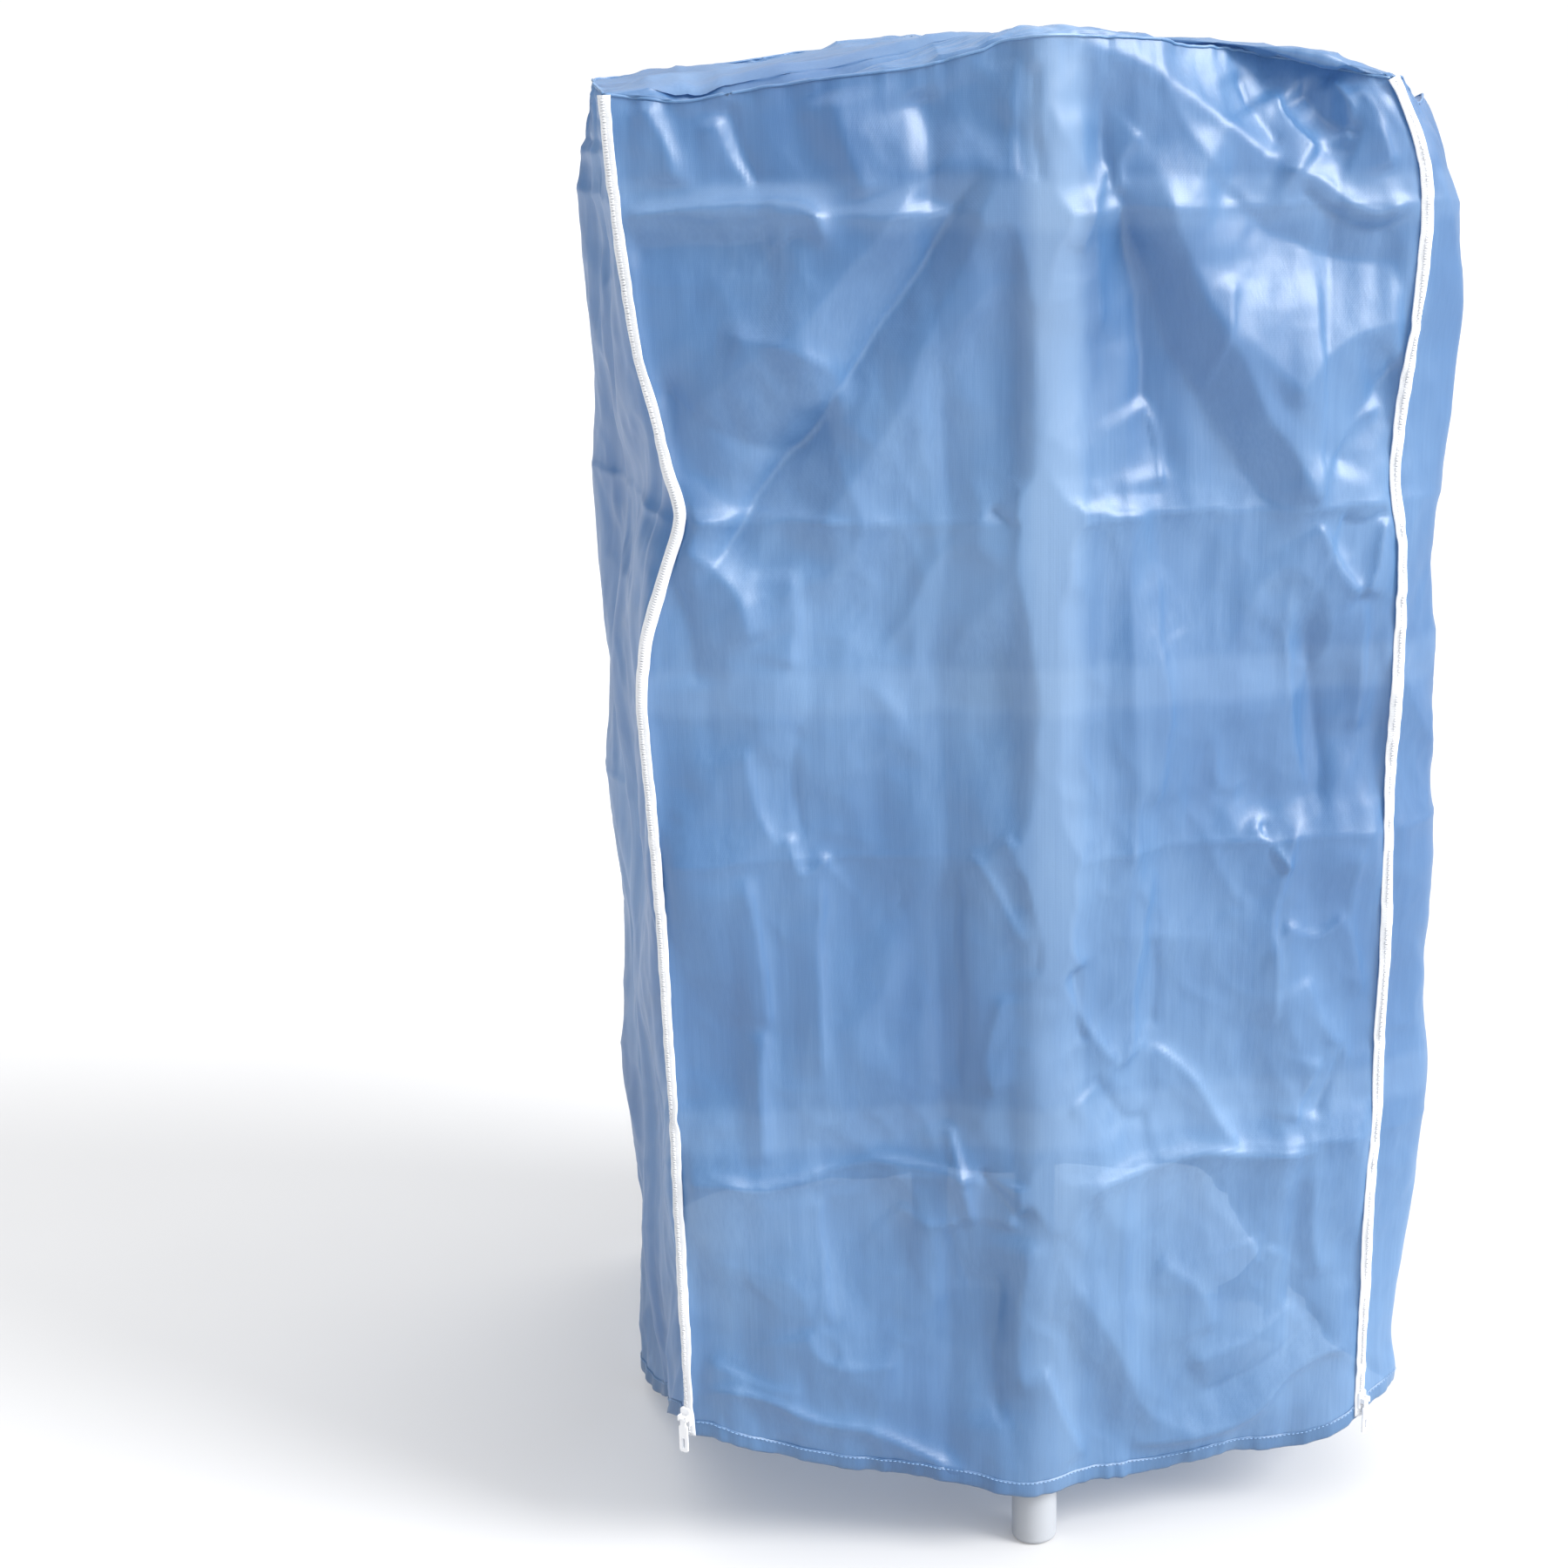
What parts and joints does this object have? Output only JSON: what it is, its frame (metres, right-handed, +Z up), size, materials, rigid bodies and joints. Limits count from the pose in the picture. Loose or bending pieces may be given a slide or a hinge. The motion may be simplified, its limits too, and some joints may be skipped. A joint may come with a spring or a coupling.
{
  "type": "covered folding clothes airer",
  "caption": "Folding tower clothes airer: hinged rod shelves on upright posts, side legs and a hub base, under a zipped nylon cover.",
  "frame": {"origin": "on the floor at the middle of the footprint", "axes": "+Z up, -Y towards the front post, +X towards the right side leg"},
  "size_m": [0.7368, 0.7518, 1.34],
  "materials": {
    "aluminium": "satin anodised",
    "white_plastic": "satin moulded",
    "white_steel": "gloss powder coat",
    "grey_plastic": "fine moulded texture",
    "dark_plastic": "fine moulded texture",
    "pin_steel": "zinc plated",
    "cover_nylon": "satin woven nylon",
    "hem_nylon": "folded and stitched nylon",
    "zip_tape": "woven tape with moulded coil",
    "zip_metal": "white lacquered"
  },
  "bodies": {
    "frame": {"post_front": "aluminium", "post_back": "aluminium", "post_cap_front": "grey_plastic", "post_cap_back": "grey_plastic", "post_foot_front": "grey_plastic", "post_foot_back": "grey_plastic", "hub_body": "grey_plastic", "hub_cover": "grey_plastic", "hub_screws": "dark_plastic", "base_arm_front": "white_steel", "base_arm_back": "white_steel", "foot_bracket_front": "grey_plastic", "foot_bracket_back": "grey_plastic", "tier1_brackets": "grey_plastic", "tier2_brackets": "grey_plastic", "tier3_brackets": "grey_plastic", "hinge_pins": "pin_steel"},
    "tier1_left": {"tier1_left_front_rail": "white_plastic", "tier1_left_back_rail": "white_plastic", "tier1_left_rods": "white_steel"},
    "tier2_left": {"tier2_left_front_rail": "white_plastic", "tier2_left_back_rail": "white_plastic", "tier2_left_rods": "white_steel"},
    "tier3_left": {"tier3_left_front_rail": "white_plastic", "tier3_left_back_rail": "white_plastic", "tier3_left_rods": "white_steel"},
    "arm_left": {"arm_left": "white_steel"},
    "leg_left": {"leg_left_tube": "white_steel", "leg_left_cap": "grey_plastic", "leg_left_foot": "grey_plastic", "leg_left_gusset": "grey_plastic", "leg_left_clips": "grey_plastic"},
    "tier1_right": {"tier1_right_front_rail": "white_plastic", "tier1_right_back_rail": "white_plastic", "tier1_right_rods": "white_steel"},
    "tier2_right": {"tier2_right_front_rail": "white_plastic", "tier2_right_back_rail": "white_plastic", "tier2_right_rods": "white_steel"},
    "tier3_right": {"tier3_right_front_rail": "white_plastic", "tier3_right_back_rail": "white_plastic", "tier3_right_rods": "white_steel"},
    "arm_right": {"arm_right": "white_steel"},
    "leg_right": {"leg_right_tube": "white_steel", "leg_right_cap": "grey_plastic", "leg_right_foot": "grey_plastic", "leg_right_gusset": "grey_plastic", "leg_right_clips": "grey_plastic"},
    "cover": {"cover_front_panel": "cover_nylon", "cover_back_panel": "cover_nylon", "cover_left_panel": "cover_nylon", "cover_right_panel": "cover_nylon", "cover_top_panel": "cover_nylon", "cover_zip_left": "zip_tape", "cover_zip_right": "zip_tape", "cover_hem": "hem_nylon"},
    "zip_slider_left": {"zip_slider_left": "zip_metal"},
    "zip_pull_left": {"zip_pull_left": "zip_metal"},
    "zip_slider_right": {"zip_slider_right": "zip_metal"},
    "zip_pull_right": {"zip_pull_right": "zip_metal"}
  },
  "joints": [
    {"name": "frame_fold", "type": "hinge", "parent": "frame", "child": "tier1_left", "pos_m": [-0.05, 0, 0.43], "axis": [0, 1, 0], "range_deg": [0, 90]},
    {"name": "tier2_left_fold", "type": "hinge", "parent": "frame", "child": "tier2_left", "pos_m": [-0.05, 0, 0.822], "axis": [0, 1, 0], "range_deg": [0, 90]},
    {"name": "tier3_left_fold", "type": "hinge", "parent": "frame", "child": "tier3_left", "pos_m": [-0.05, 0, 1.214], "axis": [0, 1, 0], "range_deg": [0, 90]},
    {"name": "arm_left_fold", "type": "hinge", "parent": "frame", "child": "arm_left", "pos_m": [-0.05, 0, 0.052], "axis": [0, 1, 0], "range_deg": [0, 90]},
    {"name": "leg_left_upright", "type": "hinge", "parent": "arm_left", "child": "leg_left", "pos_m": [-0.308, 0, 0.052], "axis": [0, -1, 0], "range_deg": [0, 90]},
    {"name": "tier1_right_fold", "type": "hinge", "parent": "frame", "child": "tier1_right", "pos_m": [0.05, 0, 0.43], "axis": [0, -1, 0], "range_deg": [0, 90]},
    {"name": "tier2_right_fold", "type": "hinge", "parent": "frame", "child": "tier2_right", "pos_m": [0.05, 0, 0.822], "axis": [0, -1, 0], "range_deg": [0, 90]},
    {"name": "tier3_right_fold", "type": "hinge", "parent": "frame", "child": "tier3_right", "pos_m": [0.05, 0, 1.214], "axis": [0, -1, 0], "range_deg": [0, 90]},
    {"name": "arm_right_fold", "type": "hinge", "parent": "frame", "child": "arm_right", "pos_m": [0.05, 0, 0.052], "axis": [0, -1, 0], "range_deg": [0, 90]},
    {"name": "leg_right_upright", "type": "hinge", "parent": "arm_right", "child": "leg_right", "pos_m": [0.308, 0, 0.052], "axis": [0, 1, 0], "range_deg": [0, 90]},
    {"name": "cover_lift", "type": "slide", "parent": "frame", "child": "cover", "axis": [0, 0, 1], "range_m": [0, 1.6]},
    {"name": "zip_slider_left_slide", "type": "slide", "parent": "cover", "child": "zip_slider_left", "axis": [0, 0, 1], "range_m": [0, 1.18]},
    {"name": "zip_pull_left_swing", "type": "hinge", "parent": "zip_slider_left", "child": "zip_pull_left", "pos_m": [-0.323, -0.34124, 0.15], "axis": [-0.774, 0.6332, 0], "range_deg": [0, 120]},
    {"name": "zip_slider_right_slide", "type": "slide", "parent": "cover", "child": "zip_slider_right", "axis": [0, 0, 1], "range_m": [0, 1.18]},
    {"name": "zip_pull_right_swing", "type": "hinge", "parent": "zip_slider_right", "child": "zip_pull_right", "pos_m": [0.323, -0.34124, 0.107], "axis": [-0.774, -0.6332, 0], "range_deg": [0, 120]}
  ],
  "couplings": [
    {"joint": "tier2_left_fold", "follows": "frame_fold", "ratio": 1},
    {"joint": "tier3_left_fold", "follows": "frame_fold", "ratio": 1},
    {"joint": "arm_left_fold", "follows": "frame_fold", "ratio": 1},
    {"joint": "leg_left_upright", "follows": "frame_fold", "ratio": 1},
    {"joint": "tier1_right_fold", "follows": "frame_fold", "ratio": 1},
    {"joint": "tier2_right_fold", "follows": "frame_fold", "ratio": 1},
    {"joint": "tier3_right_fold", "follows": "frame_fold", "ratio": 1},
    {"joint": "arm_right_fold", "follows": "frame_fold", "ratio": 1},
    {"joint": "leg_right_upright", "follows": "frame_fold", "ratio": 1},
    {"joint": "cover_lift", "follows": "frame_fold", "m_per_rad": 1.0185}
  ]
}
